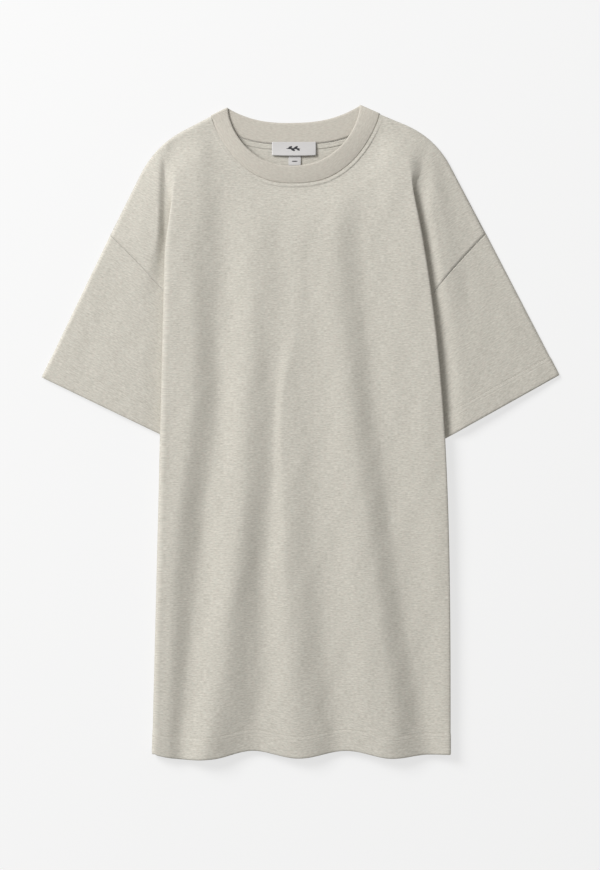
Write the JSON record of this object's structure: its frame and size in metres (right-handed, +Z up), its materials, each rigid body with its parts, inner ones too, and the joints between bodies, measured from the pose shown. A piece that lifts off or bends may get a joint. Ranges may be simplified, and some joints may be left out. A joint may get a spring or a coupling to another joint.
{
  "type": "t-shirt dress",
  "caption": "Oversized short-sleeved t-shirt dress in heavy oatmeal jersey, laid flat with its sides pleated under and soft folds running down the front.",
  "frame": {"origin": "on the surface the dress lies on, under the middle of its bounding box", "axes": "+X across the dress to the wearer's left, +Y from the hem to the neck, +Z up from the surface, with the front of the dress facing up"},
  "size_m": [0.7118, 0.9032, 0.0206],
  "materials": {
    "jersey": "matte melange knit",
    "rib": "matte ribbed knit",
    "label": "satin weave"
  },
  "bodies": {
    "root": {"front": "jersey", "back": "jersey", "sleeve_right": "jersey", "sleeve_left": "jersey", "collar": "rib", "neck_tape": "jersey", "main_label": "label", "size_label": "label"}
  },
  "joints": []
}
